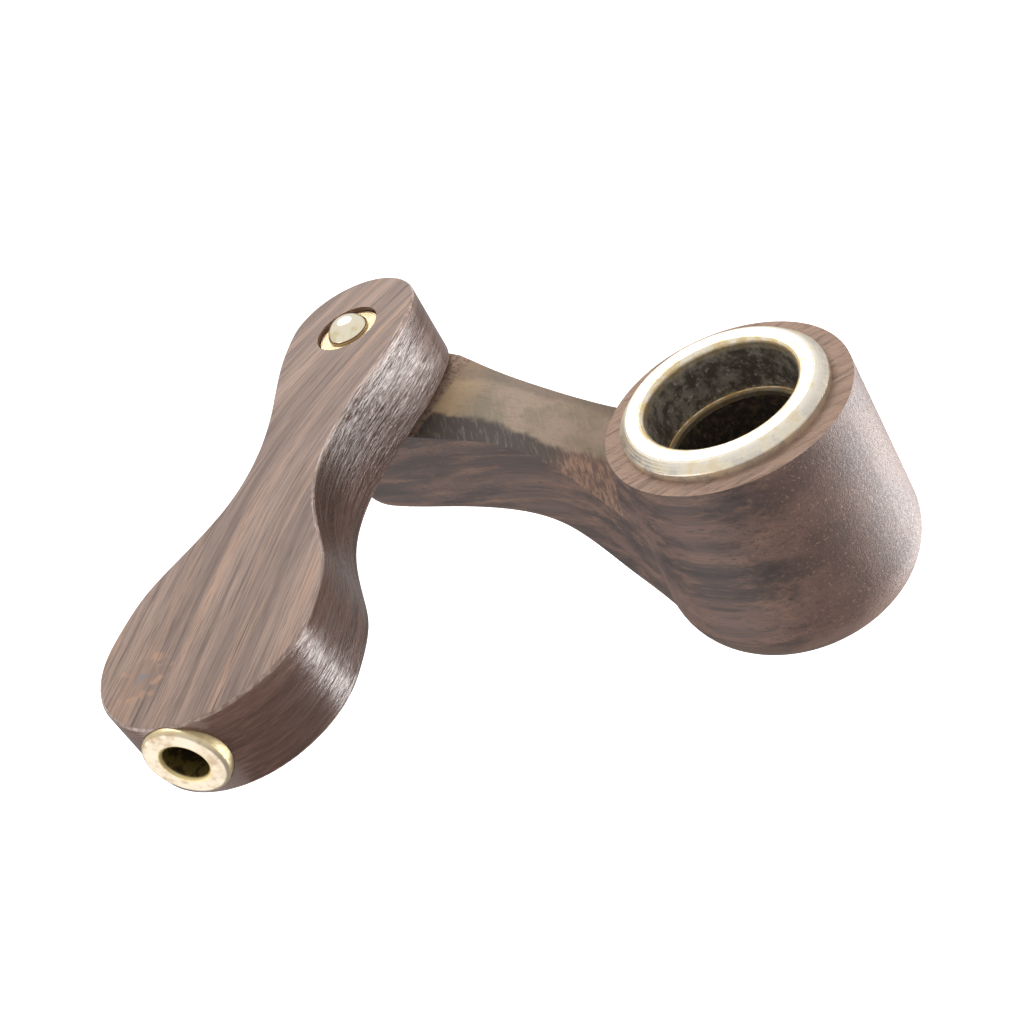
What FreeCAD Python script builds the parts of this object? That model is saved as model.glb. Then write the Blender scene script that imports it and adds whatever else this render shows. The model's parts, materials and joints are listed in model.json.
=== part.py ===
"""Folding pocket pipe: a wooden bowl half, a swivelling arm that is stem and lid, and brass fittings.

Frame: origin on the bowl's axis in the plane of its wooden rim, +X from the pivot towards the bowl,
+Z up out of the bowl. Lengths are millimetres.
"""
import FreeCAD, Part
import math
import os
import re

import Sketcher
from FreeCAD import Placement, Rotation, Vector

doc = FreeCAD.newDocument("FoldingPipe")

# ---------------------------------------------------------------- driving dimensions
SIZES = {
    "pivot_to_bowl": 47.8,
    "arm_rest_angle": -72.25,
    # wooden lower half, heights measured from the rim plane
    "pad_height": 1.4,
    "pad_end_radius": 8.3,
    "pad_end_centre": 1.0,
    "pad_depth": 12.85,
    "pad_length": 7.0,
    "neck_half_width": 5.05,
    "bowl_radius": 13.65,
    "bowl_foot_radius": 15.05,
    "bowl_depth": 27.9,
    "bell_offset": 0.3,
    "neck_depth": 24.3,
    "neck_join_angle": 60,
    "scoop_depth": 8.6,
    "scoop_end": 34.5,
    "belly_end": 41.0,
    "flare": 1.7,
    "foot_round": 2.4,
    "bell_round": 7.5,
    "wood_edge": 0.4,
    # bowl bore and its liner
    "liner_bore": 8.5,
    "liner_wall": 0.7,
    "liner_fit": 0.02,
    "flange_radius": 11.6,
    "flange_height": 2.0,
    "flange_bevel": 1.1,
    "flange_edge": 0.9,
    "flange_crest": 1.0,
    "flange_lip": 0.25,
    "liner_roll": 0.8,
    "ledge_depth": 7.0,
    "ledge_bore": 7.85,
    "ledge_thickness": 0.6,
    "chamber_bore": 7.9,
    "chamber_depth": 16.8,
    "chamber_round": 3.0,
    "airway_bore": 1.4,
    # swivelling arm, heights measured from its underside
    "arm_gap": 0.8,
    "arm_thickness": 9.9,
    "arm_end_radius": 8.5,
    "arm_end_centre": 1.45,
    "arm_waist": 4.85,
    "arm_join_angle": 87,
    "mouth_radius": 12.25,
    "mouth_centre": 49.1,
    "mouth_flat": 0.8,
    "mouth_height": 5.35,
    "stem_bore": 1.6,
    "stem_end_height": 2.9,
    # mouth ferrule
    "ferrule_radius": 4.45,
    "ferrule_flange": 1.4,
    "ferrule_bore": 2.3,
    "ferrule_wall": 0.6,
    "ferrule_length": 5.0,
    "ferrule_roll": 0.5,
    "ferrule_edge": 0.5,
    # pivot, from the head down
    "counterbore_radius": 4.0,
    "counterbore_depth": 1.2,
    "plenum_radius": 3.4,
    "plenum_height": 4.5,
    "shank_radius": 1.5,
    "shank_fit": 0.06,
    "head_radius": 2.6,
    "head_rim": 0.35,
    "dome_height": 1.75,
    "washer_radius": 3.85,
    "washer_thickness": 0.55,
    "washer_lift": 0.05,
    "pocket_radius": 4.3,
    "pocket_depth": 3.5,
    "spring_height": 0.9,
    "spring_thickness": 0.4,
    "tail_washer_radius": 3.6,
    "nut_corner_radius": 3.2,
    "nut_thickness": 1.5,
}

sheet = doc.addObject("Spreadsheet::Sheet", "Sizes")
for row, (alias, value) in enumerate(SIZES.items(), start=1):
    sheet.set("A%d" % row, alias)
    sheet.set("B%d" % row, str(value))
    sheet.setAlias("B%d" % row, alias)
doc.recompute()


def formula(text):
    """Expression text with each alias turned into a reference to its cell."""
    return re.sub(r"[a-z]+(_[a-z]+)*", lambda word: "Sizes." + word.group(), text)


def value(text):
    """Number that an expression of aliases gives."""
    return float(sheet.evalExpression(formula(text)))


def bind(obj, **formulas):
    """Bind properties to expressions of aliases; a double underscore stands for a dot."""
    for prop, text in formulas.items():
        obj.setExpression(prop.replace("__", "."), formula(text))
    return obj


# ---------------------------------------------------------------- helpers for turned pieces
def sketch_on(body, role, name):
    """Empty sketch on one of the body's origin planes."""
    plane = next(item for item in body.Origin.OriginFeatures if item.Role == role)
    sketch = body.newObject("Sketcher::SketchObject", name)
    sketch.AttachmentSupport = [(plane, "")]
    sketch.MapMode = "FlatFace"
    return sketch


def dome_arc(foot, top):
    """Arc from a foot up to a top on the axis, its centre on the axis too."""
    rise = top.y - foot.y
    radius = (foot.x**2 + rise**2) / (2 * rise)
    centre = Vector(0, top.y - radius, 0)
    start = math.atan2(foot.y - centre.y, foot.x)
    return Part.ArcOfCircle(Part.Circle(centre, Vector(0, 0, 1), radius), start, math.pi / 2)


def closed_profile(sketch, corners, dome=None):
    """Closed outline whose corners are pairs of expressions: distance from the axis, height.

    The side after corner number dome is an arc that ends on the axis, the others are straight.
    """
    places = [Vector(value(radius), value(height), 0) for radius, height in corners]
    count = len(corners)
    for index in range(count):
        ends = (places[index], places[(index + 1) % count])
        sketch.addGeometry(dome_arc(*ends) if index == dome else Part.LineSegment(*ends))
    for index in range(count):
        sketch.addConstraint(Sketcher.Constraint("Coincident", index, 2, (index + 1) % count, 1))
    for index, corner in enumerate(corners):
        for kind, text in zip(("DistanceX", "DistanceY"), corner):
            at = sketch.addConstraint(Sketcher.Constraint(kind, -1, 1, index, 1, value(text)))
            if text != "0":
                sketch.setExpression("Constraints[%d]" % at, formula(text))
    if dome is not None:
        sketch.addConstraint(Sketcher.Constraint("PointOnObject", dome, 3, -2))


def turned(label, corners, rounds=(), dome=None):
    """Body turned about its Z axis; rounds lists (radius, height, size) of edges to round."""
    body = doc.addObject("PartDesign::Body", label + "_body")
    body.Label = label
    sketch = sketch_on(body, "XZ_Plane", label + "_profile")
    closed_profile(sketch, corners, dome)
    revolution = body.newObject("PartDesign::Revolution", label + "_turning")
    revolution.Profile = sketch
    revolution.ReferenceAxis = (sketch, ["V_Axis"])
    revolution.Angle = 360
    doc.recompute()
    last = revolution
    for number, (radius, height, amount) in enumerate(rounds):
        edge = ring_edge(last.Shape, value(radius), value(height))
        fillet = body.newObject("PartDesign::Fillet", "%s_round_%d" % (label, number))
        fillet.Base = (last, [edge])
        bind(fillet, Radius=amount)
        doc.recompute()
        last = fillet
    body.Tip = last
    return body


def ring_edge(shape, radius, height):
    """Name of the circular edge of this radius about the Z axis at this height."""
    for number, edge in enumerate(shape.Edges, start=1):
        box = edge.BoundBox
        level = abs(box.ZMin - height) < 1e-4 and abs(box.ZMax - height) < 1e-4
        if level and abs(box.XMax - radius) < 1e-4:
            return "Edge%d" % number
    raise ValueError("no ring of radius %.3f at height %.3f" % (radius, height))


# ---------------------------------------------------------------- helpers for wooden pieces
def lobed_face(start_centre, start_radius, flanks, end_centre, end_radius, join_angle):
    """Flat outline, mirrored about X: a round end, a flank through the given points, a round end.

    The flank leaves the first round end at its widest point and meets the second at join_angle,
    measured from -X at that end's centre.
    """
    away = math.radians(join_angle)
    join = Vector(end_centre - end_radius * math.cos(away), end_radius * math.sin(away), 0)
    points = [Vector(start_centre, start_radius, 0)]
    points += [Vector(along, half_width, 0) for along, half_width in flanks]
    points.append(join)
    flank = Part.BSplineCurve()
    flank.interpolate(
        points,
        InitialTangent=Vector(1, 0, 0),
        FinalTangent=Vector(math.sin(away), math.cos(away), 0),
    )
    upper = flank.toShape()
    lower = upper.mirror(Vector(0, 0, 0), Vector(0, 1, 0))
    start = Part.Arc(
        Vector(start_centre, start_radius, 0),
        Vector(start_centre - start_radius, 0, 0),
        Vector(start_centre, -start_radius, 0),
    ).toShape()
    end = Part.Arc(join, Vector(end_centre + end_radius, 0, 0), Vector(join.x, -join.y, 0)).toShape()
    return Part.Face(Part.Wire(Part.__sortEdges__([start, upper, end, lower])))


def smooth_edge(points, start_tangent, end_tangent):
    """Edge through points of the XZ plane, given as (x, z)."""
    curve = Part.BSplineCurve()
    curve.interpolate(
        [Vector(x, 0, z) for x, z in points],
        InitialTangent=Vector(start_tangent[0], 0, start_tangent[1]),
        FinalTangent=Vector(end_tangent[0], 0, end_tangent[1]),
    )
    return curve.toShape()


def straight_edges(points):
    """Edges along a polyline of the XZ plane, given as (x, z)."""
    places = [Vector(x, 0, z) for x, z in points]
    return [Part.LineSegment(a, b).toShape() for a, b in zip(places, places[1:])]


def shape_feature(name, shape):
    """Document object that holds a shape made with Part's functions."""
    feature = doc.addObject("Part::Feature", name)
    feature.Shape = shape
    return feature


def cylinder(name, radius, height, foot=None):
    """Upright cylinder on the Z axis, its foot at a height or left for a Placement to set."""
    solid = bind(doc.addObject("Part::Cylinder", name), Radius=radius, Height=height)
    return bind(solid, Placement__Base__z=foot) if foot else solid


def fused(name, solids):
    """Union of several solids."""
    union = doc.addObject("Part::MultiFuse", name)
    union.Shapes = solids
    return union


def cut(name, base, tool):
    """Base with the tool taken away."""
    difference = doc.addObject("Part::Cut", name)
    difference.Base = base
    difference.Tool = tool
    return difference


def rounded(label, base, chosen, radius):
    """Base with the edges rounded whose bounding boxes the chosen function accepts."""
    doc.recompute()
    fillet = doc.addObject("Part::Fillet", label)
    fillet.Base = base
    amount = value(radius)
    numbers = [n for n, edge in enumerate(base.Shape.Edges, start=1) if chosen(edge.BoundBox)]
    fillet.Edges = [(n, amount, amount) for n in numbers]
    return fillet


# ---------------------------------------------------------------- heights along the pivot
HEEL = "pad_height - pad_depth"
ARM_FOOT = "pad_height + arm_gap"
WASHER_SEAT = ARM_FOOT + " + arm_thickness - counterbore_depth + washer_lift"
HEAD_SEAT = WASHER_SEAT + " + washer_thickness"
POCKET_ROOF = HEEL + " + pocket_depth"
TAIL_WASHER_FOOT = POCKET_ROOF + " - spring_height - washer_thickness"
NUT_FOOT = TAIL_WASHER_FOOT + " - nut_thickness"


# ---------------------------------------------------------------- wooden lower half
def make_bowl_body():
    """Bowl, scooped neck and pivot pad, built with the pivot's axis at X = 0."""
    bowl = value("pivot_to_bowl")
    radius = value("bowl_radius")
    pad = value("pad_height")
    floor = -value("neck_depth")
    scoop = -value("scoop_depth")
    narrow = value("neck_half_width")
    end = value("pad_end_radius")
    outline = lobed_face(
        start_centre=-value("pad_end_centre"),
        start_radius=end,
        flanks=[(8.0, end - 1.2), (21.8, narrow), (28.8, narrow + 1.15)],
        end_centre=bowl,
        end_radius=radius,
        join_angle=value("neck_join_angle"),
    )
    plan = shape_feature("body_plan", outline)
    prism = doc.addObject("Part::Extrusion", "body_prism")
    prism.Base = plan
    prism.DirMode = "Custom"
    prism.Dir = Vector(0, 0, 1)
    prism.Symmetric = True
    bind(prism, LengthFwd="4 * bowl_depth")

    # side profile: pad, scoop, bowl and the curved underside
    crest = value("pad_length")
    dip_end = value("scoop_end")
    belly_end = value("belly_end")
    back = -2 * end
    dip = smooth_edge(
        [
            (crest, pad),
            (12.0, pad - 1.35),
            (18.0, pad - 2.85),
            (24.0, pad - 5.2),
            (30.0, pad - 8.4),
            (dip_end, scoop),
        ],
        start_tangent=(1, -0.25),
        end_tangent=(1, -0.15),
    )
    heel = pad - value("pad_depth")
    belly = smooth_edge(
        [
            (back, heel),
            (4.0, heel),
            (14.6, heel - 2.0),
            (22.0, heel - 4.9),
            (30.0, heel - 10.6),
            (36.0, floor + 0.5),
            (belly_end, floor),
        ],
        start_tangent=(1, 0),
        end_tangent=(1, 0),
    )
    beyond = bowl + 2 * radius
    rim = straight_edges(
        [(dip_end, scoop), (bowl, scoop), (bowl, 0), (beyond, 0), (beyond, floor), (belly_end, floor)]
    )
    ends = straight_edges([(back, heel), (back, pad), (crest, pad)])
    side = Part.Face(Part.Wire(Part.__sortEdges__([dip, belly] + rim + ends)))
    profile = shape_feature("body_profile", side)
    slab = doc.addObject("Part::Extrusion", "body_slab")
    slab.Base = profile
    slab.DirMode = "Custom"
    slab.Dir = Vector(0, 1, 0)
    slab.Symmetric = True
    bind(slab, LengthFwd="4 * bowl_radius")

    # the bowl flares into the scoop's floor
    boss = doc.addObject("Part::Cone", "bowl_flare")
    bind(boss, Radius1="bowl_radius + flare", Radius2="bowl_radius", Height="scoop_depth + 1")
    bind(boss, Placement__Base__x="pivot_to_bowl", Placement__Base__z="-scoop_depth - 1")
    necked = doc.addObject("Part::Common", "body_neck")
    necked.Base = prism
    necked.Tool = fused("body_side", [slab, boss])
    bell = doc.addObject("Part::Cone", "bowl_bell")
    bind(bell, Radius1="bowl_foot_radius", Radius2="bowl_radius", Height="bowl_depth")
    bind(bell, Placement__Base__x="pivot_to_bowl + bell_offset", Placement__Base__z="-bowl_depth")

    def underneath(box):
        """Edges around the foot, the belly and the heel, but not those across them."""
        return box.ZMax < heel + 0.1 and box.XMax - box.XMin > 0.1

    neck_block = rounded("neck_block", necked, underneath, "foot_round")
    bell_block = rounded("bell_block", bell, lambda box: box.ZMax < floor, "bell_round")
    block = fused("body_block", [neck_block, bell_block])

    bowl_axis = dict(Placement__Base__x="pivot_to_bowl")
    seat_foot = "flange_height - ledge_depth - ledge_thickness"
    seat = cylinder("liner_seat", "liner_bore + liner_wall + liner_fit", "bowl_depth", seat_foot)
    drilling = cylinder("chamber_drilling", "chamber_bore", "bowl_depth", "-chamber_depth")
    chamber = rounded("chamber", drilling, lambda box: box.ZMax < -value("bowl_depth") / 2, "chamber_round")
    bind(seat, **bowl_axis)
    bind(drilling, **bowl_axis)
    hollows = [
        seat,
        chamber,
        cylinder("body_plenum", "plenum_radius", "2 * plenum_height", "pad_height - plenum_height"),
        cylinder("body_pin_bore", "shank_radius + shank_fit", "2 * pad_depth", "-pad_depth"),
        cylinder("spring_pocket", "pocket_radius", "2 * pocket_depth", HEEL + " - pocket_depth"),
        airway(),
    ]
    return cut("bowl_body", block, fused("body_hollows", hollows))


def airway():
    """Slanted drilling from the plenum round the pin to the foot of the bowl's chamber."""
    start = Vector(value("shank_radius"), 0, value("pad_height - plenum_height / 2 - airway_bore / 2"))
    end = Vector(value("pivot_to_bowl - chamber_bore / 2"), 0, value("airway_bore - chamber_depth"))
    drilling = cylinder("airway", "airway_bore", "pivot_to_bowl - chamber_bore / 2")
    drilling.Placement = Placement(start, Rotation(Vector(0, 0, 1), end - start))
    return drilling


# ---------------------------------------------------------------- swivelling arm
def make_swivel_arm():
    """Flat hourglass arm along +X from the pivot's axis, its underside at Z = 0."""
    waist = value("arm_waist")
    end = value("arm_end_radius")
    outline = lobed_face(
        start_centre=-value("arm_end_centre"),
        start_radius=end,
        flanks=[
            (5.2, end - 0.6),
            (15.0, waist + 0.8),
            (22.5, waist),
            (30.0, waist + 1.05),
            (38.6, waist + 5.05),
        ],
        end_centre=value("mouth_centre"),
        end_radius=value("mouth_radius"),
        join_angle=value("arm_join_angle"),
    )
    plan = shape_feature("arm_plan", outline)
    prism = doc.addObject("Part::Extrusion", "arm_prism")
    prism.Base = plan
    prism.DirMode = "Custom"
    prism.Dir = Vector(0, 0, 1)
    bind(prism, LengthFwd="arm_thickness")
    block = rounded("arm_block", prism, lambda box: box.ZMax - box.ZMin < 0.1, "wood_edge")

    end_face = value("mouth_centre + mouth_radius - mouth_flat")
    mouth = value("mouth_height")
    along = Rotation(Vector(0, 1, 0), 90)
    spot_face = cylinder("mouth_spot_face", "ferrule_radius + shank_fit", "mouth_radius")
    spot_face.Placement = Placement(Vector(end_face, 0, mouth), along)
    socket = cylinder("ferrule_socket", "ferrule_bore + ferrule_wall + liner_fit", "mouth_radius")
    socket.Placement = Placement(Vector(end_face - value("ferrule_length"), 0, mouth), along)
    stem_start = Vector(value("shank_radius"), 0, value("stem_end_height"))
    stem_end = Vector(end_face, 0, mouth)
    stem = cylinder("stem_airway", "stem_bore", "mouth_centre + mouth_radius")
    stem.Placement = Placement(stem_start, Rotation(Vector(0, 0, 1), stem_end - stem_start))
    hollows = [
        spot_face,
        socket,
        stem,
        cylinder("arm_plenum", "plenum_radius", "2 * plenum_height", "-plenum_height"),
        cylinder("arm_pin_bore", "shank_radius + shank_fit", "arm_thickness"),
        cylinder("counterbore", "counterbore_radius", "arm_thickness", "arm_thickness - counterbore_depth"),
    ]
    return cut("swivel_arm", block, fused("arm_hollows", hollows))


# ---------------------------------------------------------------- brass fittings
def make_bowl_liner():
    """Flanged tube that lines the bowl, with a lip turned in at its foot."""
    tube = "liner_bore + liner_wall"
    ledge = "flange_height - ledge_depth"
    foot = ledge + " - ledge_thickness"
    corners = [
        (tube, foot),
        (tube, "0"),
        ("flange_radius", "0"),
        ("flange_radius", "flange_edge"),
        ("flange_radius - flange_bevel", "flange_height"),
        ("liner_bore", "flange_height"),
        ("liner_bore", ledge),
        ("ledge_bore", ledge),
        ("ledge_bore", foot),
    ]
    rounds = [
        ("liner_bore", "flange_height", "liner_roll"),
        ("flange_radius - flange_bevel", "flange_height", "flange_crest"),
        ("flange_radius", "flange_edge", "flange_lip"),
    ]
    return turned("bowl_liner", corners, rounds)


def make_mouth_ferrule():
    """Flanged eyelet along Z, the back of its flange at Z = 0."""
    tube = "ferrule_bore + ferrule_wall"
    corners = [
        (tube, "-ferrule_length"),
        (tube, "0"),
        ("ferrule_radius", "0"),
        ("ferrule_radius", "ferrule_flange"),
        ("ferrule_bore", "ferrule_flange"),
        ("ferrule_bore", "-ferrule_length"),
    ]
    rounds = [
        ("ferrule_radius", "ferrule_flange", "ferrule_edge"),
        ("ferrule_bore", "ferrule_flange", "ferrule_roll"),
    ]
    return turned("mouth_ferrule", corners, rounds)


def make_pivot_pin():
    """Domed pin, its head on the washer and its tail level with the nut."""
    corners = [
        ("0", NUT_FOOT),
        ("shank_radius", NUT_FOOT),
        ("shank_radius", HEAD_SEAT),
        ("head_radius", HEAD_SEAT),
        ("head_radius", HEAD_SEAT + " + head_rim"),
        ("0", HEAD_SEAT + " + head_rim + dome_height"),
    ]
    return turned("pivot_pin", corners, dome=4)


def make_washer(label, radius, foot):
    """Flat washer on the pin."""
    top = foot + " + washer_thickness"
    bore = "shank_radius + shank_fit"
    return turned(label, [(bore, foot), (radius, foot), (radius, top), (bore, top)])


def make_spring_washer():
    """Coned spring washer between the pocket's roof and the tail washer."""
    bore = "shank_radius + shank_fit"
    rim = "tail_washer_radius"
    foot = TAIL_WASHER_FOOT + " + washer_thickness"
    corners = [
        (rim, foot),
        (rim, foot + " + spring_thickness"),
        (bore, POCKET_ROOF),
        (bore, POCKET_ROOF + " - spring_thickness"),
    ]
    return turned("spring_washer", corners)


def make_tail_nut():
    """Hexagon nut on the pin's tail."""
    blank = doc.addObject("Part::Prism", "nut_blank")
    blank.Polygon = 6
    bind(blank, Circumradius="nut_corner_radius", Height="nut_thickness", Placement__Base__z=NUT_FOOT)
    bore = cylinder("nut_bore", "shank_radius", "2 * pad_depth", "-pad_depth")
    return cut("tail_nut", blank, bore)


# ---------------------------------------------------------------- assembly
PIVOT = Placement(Vector(-value("pivot_to_bowl"), 0, 0), Rotation())
SWING = Placement(Vector(0, 0, value(ARM_FOOT)), Rotation(Vector(0, 0, 1), value("arm_rest_angle")))
MOUTH_SEAT = Vector(value("mouth_centre + mouth_radius - mouth_flat"), 0, value("mouth_height"))
MOUTH = Placement(MOUTH_SEAT, Rotation(Vector(0, 1, 0), 90))

nodes = [
    (make_bowl_body(), PIVOT),
    (make_bowl_liner(), Placement()),
    (make_swivel_arm(), PIVOT * SWING),
    (make_mouth_ferrule(), PIVOT * SWING * MOUTH),
    (make_pivot_pin(), PIVOT),
    (make_washer("head_washer", "washer_radius", WASHER_SEAT), PIVOT),
    (make_spring_washer(), PIVOT),
    (make_washer("tail_washer", "tail_washer_radius", TAIL_WASHER_FOOT), PIVOT),
    (make_tail_nut(), PIVOT),
]
doc.recompute()
for node, place in nodes:
    node.Placement = place
doc.recompute()

# ---------------------------------------------------------------- checks and export
for item in doc.Objects:
    if "Invalid" in item.State or "Error" in item.State:
        raise RuntimeError("%s did not recompute: %s" % (item.Name, item.State))
os.makedirs("parts", exist_ok=True)
for node, _ in nodes:
    shape = node.Shape
    if shape.isNull() or not shape.isValid() or len(shape.Solids) != 1:
        raise RuntimeError("%s is not one valid solid" % node.Label)
    shape.exportStep("parts/%s.step" % node.Label)
    box = shape.BoundBox
    extent = (box.XMin, box.XMax, box.YMin, box.YMax, box.ZMin, box.ZMax)
    print(node.Label, "volume %.1f" % shape.Volume, "box", ["%.2f" % edge for edge in extent])
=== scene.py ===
import json
import math

import bpy
from mathutils import Matrix, Vector


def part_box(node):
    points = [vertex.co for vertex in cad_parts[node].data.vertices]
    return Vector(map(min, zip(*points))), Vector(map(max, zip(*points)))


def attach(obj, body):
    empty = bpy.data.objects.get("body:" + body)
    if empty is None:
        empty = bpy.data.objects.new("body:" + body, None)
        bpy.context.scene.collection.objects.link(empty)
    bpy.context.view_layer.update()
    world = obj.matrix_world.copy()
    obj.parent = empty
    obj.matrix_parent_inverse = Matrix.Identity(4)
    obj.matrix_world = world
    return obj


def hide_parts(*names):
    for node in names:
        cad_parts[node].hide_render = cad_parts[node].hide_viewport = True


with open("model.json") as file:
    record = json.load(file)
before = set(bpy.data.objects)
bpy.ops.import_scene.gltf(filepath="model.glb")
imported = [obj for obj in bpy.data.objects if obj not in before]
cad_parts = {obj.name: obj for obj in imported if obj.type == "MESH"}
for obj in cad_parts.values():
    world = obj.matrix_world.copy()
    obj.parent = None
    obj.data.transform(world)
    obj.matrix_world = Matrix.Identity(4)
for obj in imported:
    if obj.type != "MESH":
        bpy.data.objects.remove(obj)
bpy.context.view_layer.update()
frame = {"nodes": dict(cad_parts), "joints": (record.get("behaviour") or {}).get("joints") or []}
NODES = frame["nodes"]

MM = 0.001
PER_MM = 1000.0
IN_MM = (PER_MM, PER_MM, PER_MM)
SWING = frame["joints"][0]["pos_m"]

# The arm's direction and its pivot's axis, in the frame.
ARM_ANGLE = math.radians(-72.25)
PIVOT = Vector((SWING[0], SWING[1], 0.0))

# Places on the wood, in millimetres: the bowl's axis is at X 0, and the pad is at negative X.
KNOT = (-35.2, -51.8, 12.1)
PAD_EDGE = -38.0
BOWL_EDGE = -20.0
CHAMBER_FLOOR = -16.8
SCOOP_LOW = -10.0

# Distances from the bowl's axis, in millimetres.
BOWL_RIM = 13.9
CHAMBER_EDGE = 8.6

# The arm's grain bows sideways over this reach from the pivot, starting at this slope.
BOW_REACH = 38.0
BOW_SLOPE = 0.55

# The liner and the ferrule, in millimetres.
LINER_BORE = 8.5
LEDGE_TOP = -5.0
MOUTH_HEIGHT = 7.55
MOUTH_HOLE = 2.3
FERRULE_RIM = 4.45

# The pin, in millimetres.
PIN_SHANK = 1.5
PIN_BEVEL = 0.25
PIN_RIM = 0.35
PIN_DOME = 1.75
HEAD_BEVEL = 0.08
DOME_STEPS = 20
TURNS = 96
SHARP_ANGLE = math.radians(40)

# The camera that was fitted to the photograph.
CAMERA_PLACE = Vector((89.56, -107.61, 98.08)) * MM
CAMERA_LOOK = Vector((-0.6296, 0.5271, -0.5708))
CAMERA_UP = Vector((-0.0461, 0.7081, 0.7046))
CAMERA_LENS = 56.541

# The lamps aim at the object's middle. The sky is bright above, and dim below.
LAMP_AIM = Vector((-0.02, -0.015, 0.0))
WHITE = (1.0, 1.0, 1.0, 1.0)
SKY_ABOVE = 0.85
SKY_BELOW = 0.30
SKY_BRIGHT_FROM = 0.2
SKY_DIM_UNDER = -0.5

# The floor is flat out to this share of its rings, and then rises into the dome.
FLOOR_HEIGHT = -0.3
FLOOR_REACH = 3.0
FLOOR_RINGS = 24
FLOOR_TURNS = 48
FLAT_SHARE = 0.35


class Shader:
    """A material whose nodes are added one after the other and end in its Principled shader."""

    def __init__(self, name):
        self.material = bpy.data.materials.new(name)
        self.material.use_nodes = True
        self.tree = self.material.node_tree
        self.surface = self.tree.nodes["Principled BSDF"]

    def feed(self, socket, source):
        if isinstance(source, bpy.types.NodeSocket):
            self.tree.links.new(source, socket)
        else:
            socket.default_value = source

    def add(self, kind, inputs=(), output=0, **settings):
        node = self.tree.nodes.new("ShaderNode" + kind)
        for key, setting in settings.items():
            setattr(node, key, setting)
        for key, source in dict(inputs).items():
            self.feed(node.inputs[key], source)
        return node.outputs[output]

    def place(self):
        """Coordinates in millimetres, in the frame."""
        return self.stretched(self.add("TexCoord", output="Object"), IN_MM)

    def about_pivot(self, angle):
        """Coordinates in millimetres from the pivot, with X turned to the given angle."""
        return self.turned(self.add("TexCoord", output="Object"), angle, PIVOT, IN_MM)

    def normal(self):
        return self.add("TexCoord", output="Normal")

    def part(self, vector, axis):
        return self.add("SeparateXYZ", {0: vector}, axis)

    def turned(self, vector, angle, origin, scale):
        """Coordinates measured from the origin, scaled, and turned back by the angle about Z."""
        moved = self.add("VectorMath", {0: vector, 1: origin}, operation="SUBTRACT")
        return self.add("Mapping", {"Vector": moved, "Rotation": (0.0, 0.0, -angle), "Scale": scale})

    def stretched(self, vector, scale):
        return self.add("VectorMath", {0: vector, 1: scale}, operation="MULTIPLY")

    def noise(self, vector, scale=1.0, detail=2.0, roughness=0.5, output="Fac"):
        return self.add("TexNoise", {"Vector": vector, "Scale": scale, "Detail": detail,
                                     "Roughness": roughness}, output)

    def sum(self, first, second):
        return self.add("Math", {0: first, 1: second}, operation="ADD")

    def times(self, first, second):
        return self.add("Math", {0: first, 1: second}, operation="MULTIPLY")

    def level(self, source, low, high, to_low=0.0, to_high=1.0):
        """A smooth step as the source goes from low to high, which may run downwards."""
        return self.add("MapRange", {"Value": source, "From Min": low, "From Max": high,
                                     "To Min": to_low, "To Max": to_high}, interpolation_type="SMOOTHSTEP")

    def blend(self, amount, first, second):
        """A mixture of two colours."""
        return self.add("MixRGB", {"Fac": amount, "Color1": first, "Color2": second})

    def mix(self, amount, first, second):
        """A mixture of two numbers."""
        return self.add("Mix", {0: amount, 2: first, 3: second}, data_type="FLOAT")

    def bump(self, height, distance, strength):
        return self.add("Bump", {"Height": height, "Distance": distance, "Strength": strength})

    def set(self, **values):
        for key, source in values.items():
            self.feed(self.surface.inputs[key.replace("_", " ")], source)


def colour(red, green, blue):
    """A colour given in the 0 to 255 display scale, as linear light."""
    return tuple(((c / 255 + 0.055) / 1.055) ** 2.4 for c in (red, green, blue)) + (1.0,)


def make_camera():
    right = CAMERA_LOOK.cross(CAMERA_UP).normalized()
    up = right.cross(CAMERA_LOOK).normalized()
    turn = Matrix((right, up, -CAMERA_LOOK.normalized())).transposed().to_4x4()
    camera = bpy.data.objects.new("camera", bpy.data.cameras.new("camera"))
    camera.matrix_world = Matrix.Translation(CAMERA_PLACE) @ turn
    camera.data.lens = CAMERA_LENS
    camera.data.clip_start = 0.001
    bpy.context.scene.collection.objects.link(camera)
    bpy.context.scene.camera = camera


def make_floor():
    """Pale floor that curves up into a dome all round; it is seen, but the lamps light the object."""
    turns = FLOOR_TURNS
    corners = [(0.0, 0.0, FLOOR_HEIGHT)]
    for ring in range(1, FLOOR_RINGS + 1):
        share = ring / FLOOR_RINGS
        tilt = math.pi * 0.5 * max(0.0, share - FLAT_SHARE) / (1 - FLAT_SHARE)
        wide = FLOOR_REACH * min(1.0, share / FLAT_SHARE) * math.cos(tilt)
        height = FLOOR_HEIGHT + FLOOR_REACH * math.sin(tilt)
        for turn in range(turns):
            angle = 2 * math.pi * turn / turns
            corners.append((wide * math.cos(angle), wide * math.sin(angle), height))
    faces = [(0, 1 + t, 1 + (t + 1) % turns) for t in range(turns)]
    for ring in range(FLOOR_RINGS - 1):
        inner, outer = 1 + ring * turns, 1 + (ring + 1) * turns
        faces += [(inner + t, outer + t, outer + (t + 1) % turns, inner + (t + 1) % turns)
                  for t in range(turns)]
    mesh = bpy.data.meshes.new("floor")
    mesh.from_pydata(corners, [], faces)
    floor = bpy.data.objects.new("floor", mesh)
    bpy.context.scene.collection.objects.link(floor)
    paint = Shader("floor_white")
    mottle = paint.noise(paint.place(), 8.0 * MM)
    paint.set(Base_Color=paint.blend(mottle, (0.80, 0.80, 0.80, 1), (0.84, 0.84, 0.84, 1)),
              Roughness=0.9, Emission_Color=WHITE, Emission_Strength=0.9)
    mesh.materials.append(paint.material)
    floor.visible_diffuse = False
    floor.visible_glossy = False
    floor.visible_shadow = False


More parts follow.
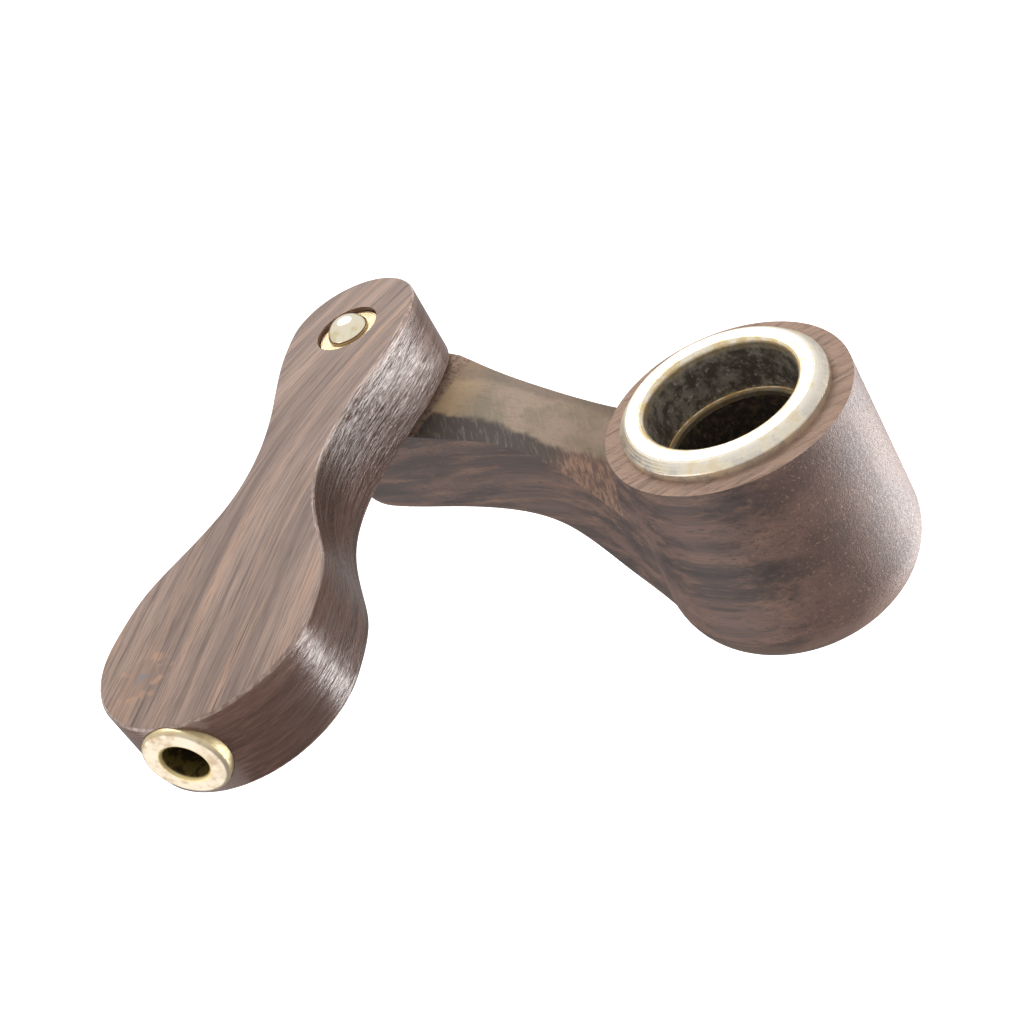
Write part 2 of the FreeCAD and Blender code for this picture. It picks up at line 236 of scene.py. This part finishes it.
def make_softbox(name, direction, distance, size, power):
    light = bpy.data.lights.new(name, "AREA")
    light.shape = "DISK"
    light.size = size
    light.energy = power
    lamp = bpy.data.objects.new(name, light)
    aim = Vector(direction).normalized()
    lamp.location = LAMP_AIM + aim * distance
    lamp.rotation_euler = aim.to_track_quat("Z", "Y").to_euler()
    lamp.visible_camera = False
    bpy.context.scene.collection.objects.link(lamp)


def make_light():
    world = bpy.data.worlds.new("world")
    world.use_nodes = True
    tree = world.node_tree
    sky = tree.nodes["Background"]
    sky.inputs["Color"].default_value = WHITE
    way = tree.nodes.new("ShaderNodeTexCoord")
    axes = tree.nodes.new("ShaderNodeSeparateXYZ")
    fade = tree.nodes.new("ShaderNodeMapRange")
    fade.inputs["From Min"].default_value = SKY_DIM_UNDER
    fade.inputs["From Max"].default_value = SKY_BRIGHT_FROM
    fade.inputs["To Min"].default_value = SKY_BELOW
    fade.inputs["To Max"].default_value = SKY_ABOVE
    tree.links.new(way.outputs["Generated"], axes.inputs["Vector"])
    tree.links.new(axes.outputs["Z"], fade.inputs["Value"])
    tree.links.new(fade.outputs["Result"], sky.inputs["Strength"])
    bpy.context.scene.world = world
    bpy.context.scene.view_settings.view_transform = "Standard"
    make_softbox("top_light", (-0.45, 0.45, 0.77), 0.22, 0.16, 0.38)
    make_softbox("side_light", (0.55, 0.63, -0.55), 0.22, 0.18, 0.78)
    make_softbox("fill_light", (-0.3, -0.7, -0.25), 0.50, 0.60, 1.4)


def bowed_grain(shade, local):
    """The arm's own coordinates, with the grain, which runs along X, bowed sideways near the pivot."""
    along = shade.part(local, 0)
    reach = shade.add("Math", {0: along, 1: BOW_REACH}, operation="MINIMUM")
    slope = shade.sum(shade.times(reach, -BOW_SLOPE / (2 * BOW_REACH)), BOW_SLOPE)
    across = shade.sum(shade.part(local, 1), shade.times(reach, slope))
    return shade.add("CombineXYZ", {0: along, 1: across, 2: shade.part(local, 2)})


def end_mask(shade, axis):
    """One where the surface is square to the grain, so that the fibres show end on."""
    facing = shade.add("VectorMath", {0: shade.normal(), 1: axis}, "Value", operation="DOT_PRODUCT")
    return shade.level(shade.add("Math", {0: facing}, operation="ABSOLUTE"), 0.40, 0.85)


def wood_layers(shade, grain, tones, ends):
    """Colour of rosewood, bare or oiled, from its five tones, and the height of its fibres; the bare tones
    are also painted lighter, as painted light from above.
    """
    bands = shade.noise(shade.stretched(grain, (0.012, 0.20, 0.20)), 1.0, 2.0, 0.55)
    streaks = shade.noise(shade.stretched(grain, (0.024, 0.50, 0.50)), 1.0, 3.0, 0.6)
    threads = shade.noise(shade.stretched(grain, (0.08, 2.5, 2.5)), 1.0, 3.0, 0.65)
    fibres = shade.noise(shade.stretched(grain, (0.22, 6.0, 6.0)), 1.0, 2.0, 0.6)
    plain = shade.blend(shade.level(bands, 0.38, 0.62), tones["dark"], tones["middle"])
    base = shade.blend(shade.level(streaks, 0.50, 0.68, 0.0, 0.70), plain, tones["streak"])
    base = shade.blend(shade.level(streaks, 0.46, 0.34, 0.0, 0.55), base, tones["fibre"])
    base = shade.blend(shade.times(ends, 0.75), base, plain)
    base = shade.blend(shade.level(threads, 0.52, 0.70, 0.0, 0.45), base, tones["thread"])
    base = shade.blend(shade.level(threads, 0.46, 0.32, 0.0, 0.50), base, tones["fibre"])
    base = shade.blend(shade.level(fibres, 0.54, 0.34, 0.0, tones["bite"]), base, tones["fibre"])
    return base, shade.sum(shade.times(threads, 0.7), shade.times(fibres, 0.3))


def pore_marks(shade, grain, across, along, share):
    """Mask of the short dark pores that lie along the grain."""
    cells = shade.add("TexVoronoi", {"Vector": shade.stretched(grain, (along, across, across)), "Scale": 1.0})
    rare = shade.noise(shade.stretched(grain, (0.05, 0.5, 0.5)), 1.0, 1.0)
    return shade.times(shade.level(cells, 0.20, 0.08), shade.level(rare, share, share + 0.12))


# Tones for top faces (bare wood) and for walls (oiled). The top tones are partly bare wood's own colour and
# partly painted light from above, so they are lighter than the wall tones.
DRY_LIT = {"dark": colour(116, 98, 89), "middle": colour(142, 120, 108), "streak": colour(164, 131, 108),
       "thread": colour(160, 132, 114), "fibre": colour(82, 66, 58), "bite": 0.55}
OILED = {"dark": colour(72, 57, 53), "middle": colour(112, 86, 77), "streak": colour(134, 102, 86),
         "thread": colour(134, 101, 82), "fibre": colour(44, 34, 31), "bite": 0.30}


def flat_mask(shade):
    """One on faces square to the object's height, zero on its walls; and the same for its edges."""
    rise = shade.add("Math", {0: shade.part(shade.normal(), 2)}, operation="ABSOLUTE")
    edge = shade.times(shade.level(rise, 0.10, 0.35), shade.level(rise, 0.97, 0.75))
    return shade.level(rise, 0.86, 0.99), edge


def knot_marks(shade, local, base):
    """Small grey knot with a broken tan ring round it, near the arm's mouth end."""
    moved = shade.add("VectorMath", {0: local, 1: KNOT}, operation="SUBTRACT")
    wander = shade.noise(local, 0.5, 2.0, 0.5, "Color")
    bent = shade.add("VectorMath", {0: wander, 1: (3.0, 3.0, 0.0), 2: moved}, operation="MULTIPLY_ADD")
    reach = shade.add("VectorMath", {0: bent}, "Value", operation="LENGTH")
    broken = shade.level(shade.noise(local, 0.55, 2.0), 0.46, 0.58)
    ring = shade.times(shade.level(reach, 1.6, 2.4), shade.level(reach, 3.5, 2.7))
    base = shade.blend(shade.times(shade.level(reach, 3.6, 2.0), 0.35), base, colour(112, 92, 84))
    base = shade.blend(shade.times(shade.times(ring, broken), 0.45), base, colour(176, 136, 106))
    return shade.blend(shade.level(reach, 0.9, 0.3, 0.0, 0.75), base, colour(106, 106, 114))


def arm_wood():
    shade = Shader("arm_rosewood")
    local = shade.about_pivot(ARM_ANGLE)
    grain = bowed_grain(shade, local)
    ends = end_mask(shade, (math.cos(ARM_ANGLE), math.sin(ARM_ANGLE), 0.0))
    flat, edge = flat_mask(shade)
    dry_lit, fibres = wood_layers(shade, grain, DRY_LIT, 0.0)
    along_wall = shade.stretched(local, (1.0, 0.15, 1.0))
    oiled, deep = wood_layers(shade, along_wall, OILED, ends)
    dry_lit = knot_marks(shade, shade.place(), dry_lit)
    cracks = shade.noise(shade.stretched(grain, (0.05, 1.5, 1.5)), 1.0, 2.0, 0.6)
    dry_lit = shade.blend(shade.level(cracks, 0.36, 0.30, 0.0, 0.75), dry_lit, colour(66, 52, 46))
    oiled = shade.blend(shade.mix(ends, 0.24, 0.10), oiled, OILED["fibre"])
    oiled = shade.blend(0.3, oiled, colour(118, 84, 70))
    # Top faces take the lighter top tones, partly bare wood and partly painted light from above; walls take
    # the oiled tones.
    base = shade.blend(flat, oiled, dry_lit)
    # Edges painted pale: partly wear, partly a painted highlight where the rounded edge catches light.
    wear_and_highlight = shade.times(edge, shade.level(cracks, 0.42, 0.60, 0.35, 0.95))
    base = shade.blend(wear_and_highlight, base, colour(176, 152, 138))
    base = shade.blend(shade.times(pore_marks(shade, grain, 2.2, 0.16, 0.54), 0.7), base, colour(62, 48, 42))
    depth = shade.mix(flat, shade.times(deep, shade.mix(ends, 1.0, 0.06)), shade.times(fibres, 0.35))
    relief = shade.bump(depth, 0.00028, 0.9)
    rough = shade.mix(flat, shade.level(deep, 0.42, 0.58, 0.16, 0.34), 0.62)
    oil = shade.mix(ends, shade.level(deep, 0.40, 0.54, 0.20, 0.90), 0.1)
    shade.set(Base_Color=base, Roughness=rough, Normal=relief, Coat_Normal=relief,
              Coat_Weight=shade.mix(flat, oil, 0.0), Coat_Roughness=0.14,
              Specular_Tint=colour(255, 236, 228))
    return shade.material


def slanted(shade, local, angle, scale):
    """The given coordinates turned about Z, then scaled along their new axes."""
    unmoved, unscaled = (0.0, 0.0, 0.0), (1.0, 1.0, 1.0)
    return shade.stretched(shade.turned(local, angle, unmoved, unscaled), scale)


def neck_top(shade, local, fibres):
    """Satin scoop between pad and bowl: olive, then dark along the near edge, red beside the bowl."""
    x, y = shade.part(local, 0), shade.part(local, 1)
    cloud = shade.noise(local, 0.16, 3.0, 0.6)
    scuff = shade.noise(slanted(shade, local, -0.9, (0.5, 3.2, 1.0)), 1.0, 3.0, 0.65)
    satin = shade.blend(shade.level(cloud, 0.40, 0.60), colour(124, 110, 89), colour(146, 125, 106))
    satin = shade.blend(shade.level(x, PAD_EDGE + 4.0, PAD_EDGE, 0.0, 0.7), satin, colour(170, 140, 102))
    drift = shade.sum(y, shade.times(shade.sum(cloud, -0.5), 5.0))
    satin = shade.blend(shade.level(drift, -1.8, -3.0, 0.0, 0.95), satin, colour(50, 39, 34))
    satin = shade.blend(shade.level(scuff, 0.50, 0.72, 0.0, 0.24), satin, colour(172, 152, 136))
    satin = shade.blend(shade.level(drift, 3.6, 4.8, 0.0, 0.50), satin, colour(84, 70, 60))
    red = shade.times(shade.level(x, BOWL_EDGE - 3.5, BOWL_EDGE), shade.level(drift, -1.2, -3.0))
    streaked = shade.blend(shade.level(scuff, 0.38, 0.66), colour(92, 66, 55), colour(148, 114, 91))
    satin = shade.blend(shade.times(red, 0.9), satin, streaked)
    return shade.blend(shade.level(fibres, 0.50, 0.34, 0.0, 0.25), satin, colour(74, 62, 52))


def bowl_char(shade, local):
    """Charred wood inside the chamber, brown where it is scraped."""
    soot = shade.noise(local, 1.3, 4.0, 0.75)
    coal = shade.blend(shade.level(soot, 0.45, 0.62), colour(40, 32, 24), colour(84, 68, 50))
    return shade.blend(shade.level(soot, 0.66, 0.72, 0.0, 0.8), coal, colour(168, 150, 124))


def body_wood():
    shade = Shader("body_rosewood")
    local = shade.place()
    x, z = shade.part(local, 0), shade.part(local, 2)
    radius = distance_from_axis(shade, local)
    ends = end_mask(shade, (1.0, 0.0, 0.0))
    flat, edge = flat_mask(shade)
    dry_lit, fibres = wood_layers(shade, local, DRY_LIT, 0.0)
    oiled, deep = wood_layers(shade, local, OILED, ends)
    oiled = shade.blend(shade.times(ends, 0.5), oiled, OILED["middle"])
    rise = shade.part(shade.normal(), 2)
    scoop = shade.times(shade.level(rise, 0.45, 0.75), shade.level(radius, BOWL_RIM, BOWL_RIM + 0.6))
    scoop = shade.times(scoop, shade.level(z, SCOOP_LOW, SCOOP_LOW + 1.0))
    cuts = shade.noise(slanted(shade, local, 0.8, (0.22, 1.5, 1.0)), 1.0, 4.0, 0.7)
    sawn = shade.blend(shade.level(cuts, 0.56, 0.34, 0.0, 0.75), colour(160, 131, 112), colour(94, 72, 59))
    sawn = shade.blend(0.25, sawn, dry_lit)
    pits = shade.noise(local, 2.4, 2.0, 0.6)
    pitted = shade.level(x, PAD_EDGE, PAD_EDGE - 0.5, 0.1, 0.8)
    pitted = shade.times(shade.level(pits, 0.48, 0.38), pitted)
    sawn = shade.blend(pitted, sawn, colour(94, 68, 56))
    ragged = shade.level(shade.noise(local, 1.6, 3.0, 0.7), 0.34, 0.46)
    torn = shade.times(shade.level(x, PAD_EDGE - 0.9, PAD_EDGE - 1.5), ragged)
    base = shade.blend(scoop, oiled, neck_top(shade, local, fibres))
    rim = shade.times(flat, shade.level(z, -0.4, -0.1))
    at_bowl = shade.level(x, BOWL_EDGE, BOWL_EDGE + 1.0)
    open_wood = shade.add("Math", {0: torn, 1: at_bowl}, operation="MAXIMUM")
    bare = shade.times(rim, open_wood)
    base = shade.blend(bare, base, sawn)
    # Edges painted lighter: partly wear, partly a painted highlight.
    base = shade.blend(shade.times(edge, 0.3), base, colour(140, 112, 96))
    pores = shade.times(pore_marks(shade, local, 1.5, 0.35, 0.46), shade.level(rise, 0.5, 0.2))
    base = shade.blend(shade.times(pores, 0.6), base, colour(48, 36, 33))
    flecks = shade.times(ends, shade.level(shade.noise(local, 3.0, 2.0, 0.6), 0.60, 0.68))
    base = shade.blend(shade.times(flecks, 0.55), base, colour(164, 132, 110))
    char = shade.times(shade.level(radius, CHAMBER_EDGE, CHAMBER_EDGE - 0.3), shade.level(z, -1.0, -2.0))
    char = shade.times(char, shade.level(z, CHAMBER_FLOOR - 3.2, CHAMBER_FLOOR - 1.2))
    base = shade.blend(char, base, bowl_char(shade, local))
    sawn_depth = shade.times(cuts, shade.times(bare, 0.8))
    height = shade.sum(shade.times(deep, shade.mix(scoop, 0.35, 0.25)), sawn_depth)
    relief = shade.bump(height, 0.00030, 0.8)
    satin_rough = shade.mix(scoop, shade.level(deep, 0.35, 0.65, 0.50, 0.64), 0.68)
    rough = shade.mix(bare, satin_rough, 0.80)
    rough = shade.mix(char, rough, 0.90)
    shade.set(Base_Color=base, Roughness=rough, Normal=relief)
    return shade.material


def distance_from_axis(shade, local):
    """Distance in millimetres from the upright line through the origin of the given coordinates."""
    level = shade.add("VectorMath", {0: local, 1: (1.0, 1.0, 0.0)}, operation="MULTIPLY")
    return shade.add("VectorMath", {0: level}, "Value", operation="LENGTH")


def turned_lines(shade, radius, pitch):
    """Fine rings left by the lathe."""
    return shade.add("Math", {0: shade.times(radius, 2 * math.pi / pitch)}, operation="SINE")


def pin_brass():
    """Polished head with faint rubs and a little gold in its dents."""
    shade = Shader("pin_brass")
    local = shade.place()
    rubs = shade.noise(local, 0.7, 2.0, 0.5)
    base = shade.blend(shade.level(rubs, 0.45, 0.70), colour(244, 234, 208), colour(228, 212, 172))
    relief = shade.bump(rubs, 0.00006, 0.4)
    rough = shade.level(rubs, 0.3, 0.7, 0.08, 0.20)
    shade.set(Base_Color=base, Metallic=1.0, Roughness=rough, Normal=relief)
    return shade.material


def washer_brass():
    """Tan gold, with turned rings and dark grime."""
    shade = Shader("washer_brass")
    local = shade.about_pivot(0.0)
    lines = turned_lines(shade, distance_from_axis(shade, local), 0.35)
    grime = shade.noise(local, 1.6, 4.0, 0.7)
    base = shade.blend(shade.level(grime, 0.40, 0.70), colour(208, 186, 150), colour(172, 148, 114))
    relief = shade.bump(shade.sum(shade.times(lines, 0.3), grime), 0.00004, 0.6)
    rough = shade.level(grime, 0.3, 0.7, 0.34, 0.55)
    shade.set(Base_Color=base, Metallic=1.0, Roughness=rough, Normal=relief)
    return shade.material


def spring_steel():
    """Grey spring metal with a brown heat tint."""
    shade = Shader("spring_steel")
    local = shade.place()
    tint = shade.noise(local, 0.9, 3.0, 0.6)
    base = shade.blend(shade.level(tint, 0.45, 0.70), colour(176, 174, 170), colour(140, 124, 102))
    shade.set(Base_Color=base, Metallic=1.0, Roughness=shade.level(tint, 0.3, 0.7, 0.28, 0.42))
    return shade.material


def ferrule_brass():
    """Pale rubbed flange, gold at its rims and dark gold inside the hole."""
    shade = Shader("ferrule_brass")
    local = shade.about_pivot(ARM_ANGLE)
    moved = shade.add("VectorMath", {0: local, 1: (0.0, 0.0, MOUTH_HEIGHT)}, operation="SUBTRACT")
    ring = shade.add("VectorMath", {0: moved, 1: (0.0, 1.0, 1.0)}, operation="MULTIPLY")
    radius = shade.add("VectorMath", {0: ring}, "Value", operation="LENGTH")
    smudge = shade.noise(local, 0.7, 4.0, 0.65)
    base = shade.blend(shade.level(smudge, 0.44, 0.68), colour(214, 200, 178), colour(190, 167, 138))
    rim = shade.level(radius, FERRULE_RIM - 0.3, FERRULE_RIM, 0.0, 0.5)
    base = shade.blend(rim, base, colour(228, 204, 142))
    lip = shade.level(radius, MOUTH_HOLE + 0.6, MOUTH_HOLE + 0.2, 0.0, 0.8)
    base = shade.blend(lip, base, colour(220, 196, 132))
    hole = shade.level(radius, MOUTH_HOLE + 0.12, MOUTH_HOLE)
    # The bore inside the hole is coloured darker gold-brown.
    hole_dark_tone = shade.blend(shade.level(smudge, 0.44, 0.56), colour(66, 52, 26), colour(116, 98, 48))
    base = shade.blend(hole, base, hole_dark_tone)
    relief = shade.bump(smudge, 0.00010, 0.5)
    rough = shade.mix(hole, shade.level(smudge, 0.3, 0.7, 0.34, 0.50), 0.60)
    shade.set(Base_Color=base, Metallic=shade.mix(hole, 0.80, 0.60), Roughness=rough, Normal=relief)
    return shade.material


def liner_brass():
    """Pale flange, sooty bore and a bright turned ledge."""
    shade = Shader("liner_brass")
    local = shade.place()
    z = shade.part(local, 2)
    radius = distance_from_axis(shade, local)
    spots = shade.noise(local, 0.5, 4.0, 0.7)
    specks = shade.noise(local, 2.2, 3.0, 0.7)
    pale = shade.blend(shade.level(spots, 0.42, 0.66), colour(250, 242, 226), colour(234, 218, 188))
    pale = shade.blend(shade.level(specks, 0.66, 0.76, 0.0, 0.7), pale, colour(128, 106, 80))
    tinged = shade.times(shade.level(radius, 9.9, 9.2), shade.level(spots, 0.40, 0.60, 0.2, 0.8))
    pale = shade.blend(tinged, pale, colour(222, 194, 140))
    grey = shade.times(shade.level(radius, 10.5, 11.4), shade.level(spots, 0.40, 0.58, 0.55, 0.05))
    pale = shade.blend(grey, pale, colour(182, 174, 162))
    mottle = shade.noise(local, 0.55, 5.0, 0.75)
    soot = shade.blend(shade.level(mottle, 0.40, 0.62), colour(84, 76, 67), colour(150, 142, 130))
    soot = shade.blend(shade.level(specks, 0.60, 0.72, 0.0, 0.8), soot, colour(206, 200, 188))
    bore = shade.level(radius, LINER_BORE + 0.25, LINER_BORE + 0.08)
    bore = shade.times(bore, shade.level(z, 1.4, 0.4))
    bore = shade.times(bore, shade.level(z, LEDGE_TOP + 0.05, LEDGE_TOP + 0.18))
    base = shade.blend(bore, pale, soot)
    lines = turned_lines(shade, radius, 0.26)
    relief = shade.bump(shade.sum(shade.times(lines, 0.12), specks), 0.00007, 0.6)
    rough = shade.mix(bore, shade.level(spots, 0.3, 0.7, 0.30, 0.46), 0.55)
    shade.set(Base_Color=base, Metallic=shade.mix(bore, 0.92, 0.35), Roughness=rough, Normal=relief)
    return shade.material


def revolve(name, profile, axis):
    """Smooth mesh turned about an upright axis; the profile lists (radius, height) in millimetres."""
    corners = []
    for radius, height in profile:
        for turn in range(TURNS):
            angle = 2 * math.pi * turn / TURNS
            corners.append(axis + Vector((radius * math.cos(angle), radius * math.sin(angle), height)) * MM)
    faces = [tuple(reversed(range(TURNS))), tuple(range(len(corners) - TURNS, len(corners)))]
    for low in range(0, len(corners) - TURNS, TURNS):
        for turn in range(TURNS):
            side = (turn + 1) % TURNS
            faces.append((low + turn, low + side, low + side + TURNS, low + turn + TURNS))
    mesh = bpy.data.meshes.new(name)
    mesh.from_pydata(corners, [], faces)
    mesh.shade_smooth()
    mesh.set_sharp_from_angle(angle=SHARP_ANGLE)
    piece = bpy.data.objects.new(name, mesh)
    bpy.context.scene.collection.objects.link(piece)
    return piece


def make_pin():
    """Domed pin with a rounded rim under its head and a peened tail."""
    low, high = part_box("pivot_pin")
    foot, top, head = low.z * PER_MM, high.z * PER_MM, (high.x - low.x) * 0.5 * PER_MM
    rim = top - PIN_DOME
    radius = (head * head + PIN_DOME * PIN_DOME) / (2 * PIN_DOME)
    start = math.asin((radius - PIN_DOME) / radius)
    profile = [(PIN_SHANK - PIN_BEVEL, foot), (PIN_SHANK, foot + PIN_BEVEL * 0.8),
               (PIN_SHANK, rim - PIN_RIM), (head - HEAD_BEVEL, rim - PIN_RIM),
               (head, rim - PIN_RIM + HEAD_BEVEL)]
    for step in range(DOME_STEPS):
        lift = start + (math.pi / 2 - start) * step / DOME_STEPS
        profile.append((radius * math.cos(lift), top - radius + radius * math.sin(lift)))
    pin = revolve("domed_pin", profile, PIVOT)
    pin.data.materials.append(pin_brass())
    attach(pin, "bowl_half")
    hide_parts("pivot_pin")


def dress(node, material):
    mesh = NODES[node].data
    mesh.materials.clear()
    mesh.materials.append(material)


make_camera()
make_floor()
make_light()
dress("bowl_body", body_wood())
dress("swivel_arm", arm_wood())
dress("bowl_liner", liner_brass())
dress("mouth_ferrule", ferrule_brass())
make_pin()
dress("spring_washer", spring_steel())
washer_metal = washer_brass()
for node in ("head_washer", "tail_washer", "tail_nut"):
    dress(node, washer_metal)
